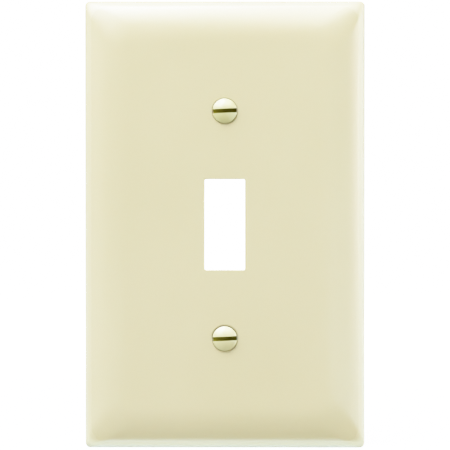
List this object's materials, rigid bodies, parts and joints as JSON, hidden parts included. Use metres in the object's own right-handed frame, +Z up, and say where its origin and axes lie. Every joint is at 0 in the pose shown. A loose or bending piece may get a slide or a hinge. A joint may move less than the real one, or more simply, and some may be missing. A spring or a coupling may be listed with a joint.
{
  "type": "toggle switch wall plate",
  "caption": "Ivory plastic cover plate for a toggle wall switch, with a long rolled bevel, a toggle opening and slotted oval-head screws.",
  "frame": {"origin": "midway between the two screws, on the plane of the rear rim that rests on the wall", "axes": "+X to the right as seen from the front, +Z up, +Y into the wall, so the face looks towards -Y"},
  "size_m": [0.0746, 0.014, 0.119],
  "materials": {
    "ivory_plastic": "smooth moulded, soft gloss",
    "ivory_enamel": "ivory enamel on the head, plated steel on the shank"
  },
  "bodies": {
    "plate": {"wall_plate": "ivory_plastic"},
    "upper_screw": {"upper_screw": "ivory_enamel"},
    "lower_screw": {"lower_screw": "ivory_enamel"}
  },
  "joints": [
    {"name": "upper_screw_turn", "type": "hinge", "parent": "plate", "child": "upper_screw", "pos_m": [0, 0, 0.03016], "axis": [0, 1, 0], "continuous": true},
    {"name": "lower_screw_turn", "type": "hinge", "parent": "plate", "child": "lower_screw", "pos_m": [0, 0, -0.03016], "axis": [0, 1, 0], "continuous": true}
  ]
}
